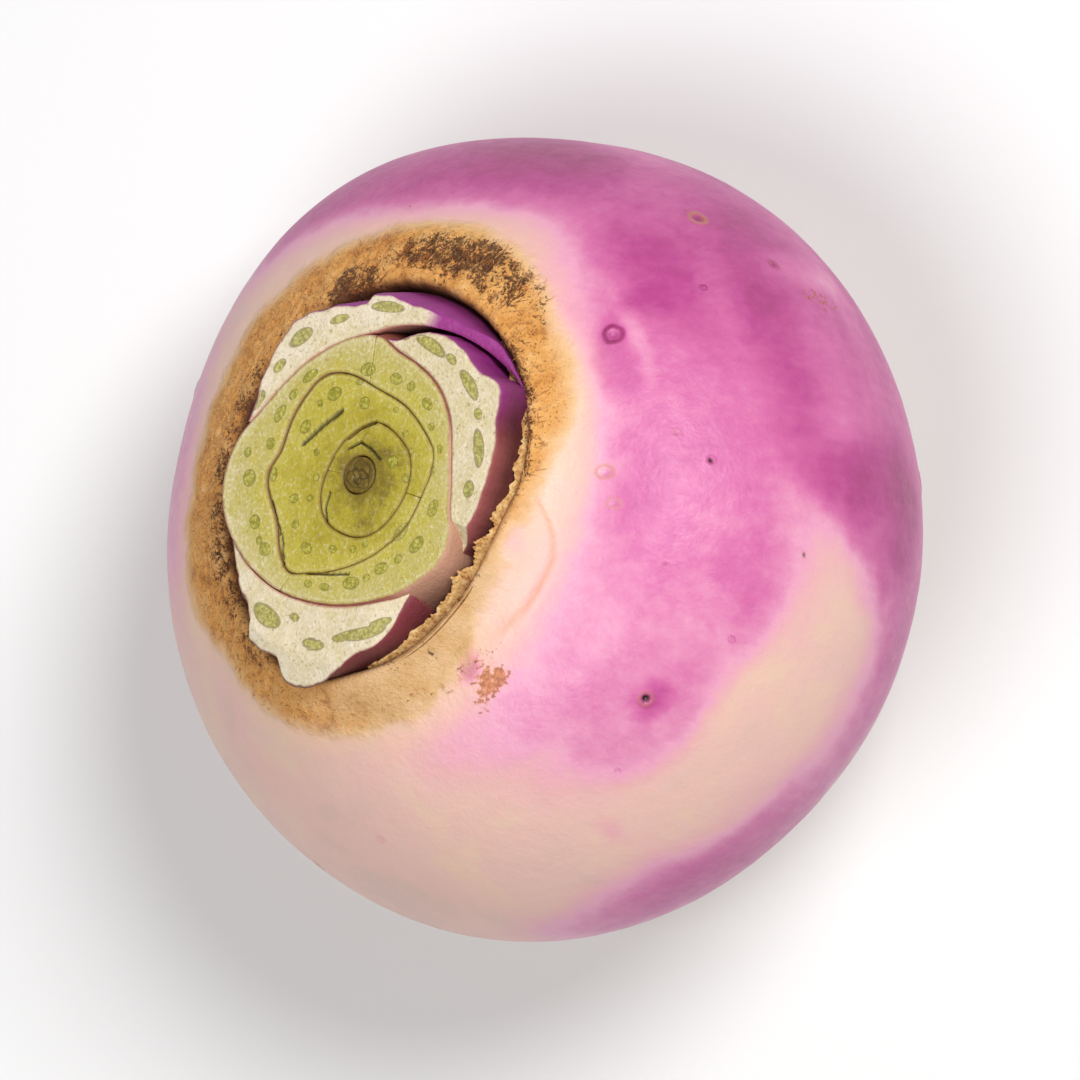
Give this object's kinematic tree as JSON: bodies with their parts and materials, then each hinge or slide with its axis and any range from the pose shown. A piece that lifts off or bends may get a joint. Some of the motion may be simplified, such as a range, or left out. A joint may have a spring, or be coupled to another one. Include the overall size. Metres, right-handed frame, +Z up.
{
  "type": "turnip",
  "caption": "Trimmed purple-top turnip: a flattened round root with a corky crown rim and short cut leaf bases, lying on its underside.",
  "frame": {"origin": "middle of the small flat spot on the underside that the turnip rests on", "axes": "+Z up; the crown axis leans 27.7 degrees from +Z towards -X, and the cut tap root points down towards +X"},
  "size_m": [0.0696, 0.072, 0.0628],
  "materials": {
    "root_skin": "smooth damp skin, purple-pink above and cream below, with a golden brown corky rim at the crown",
    "leaf_base_flesh": "moist cut leaf stalk, cream to yellow-green with darker green strands",
    "heart_flesh": "moist cut growing tip, dark olive"
  },
  "bodies": {
    "root": {"turnip_root": "root_skin", "innermost_leaf_base": "leaf_base_flesh", "inner_leaf_base": "leaf_base_flesh", "middle_leaf_base_left": "leaf_base_flesh", "middle_leaf_base_right": "leaf_base_flesh", "outer_leaf_base_upper": "leaf_base_flesh", "outer_leaf_base_right": "leaf_base_flesh", "outer_leaf_base_lower": "leaf_base_flesh", "heart_bud": "heart_flesh"}
  },
  "joints": []
}
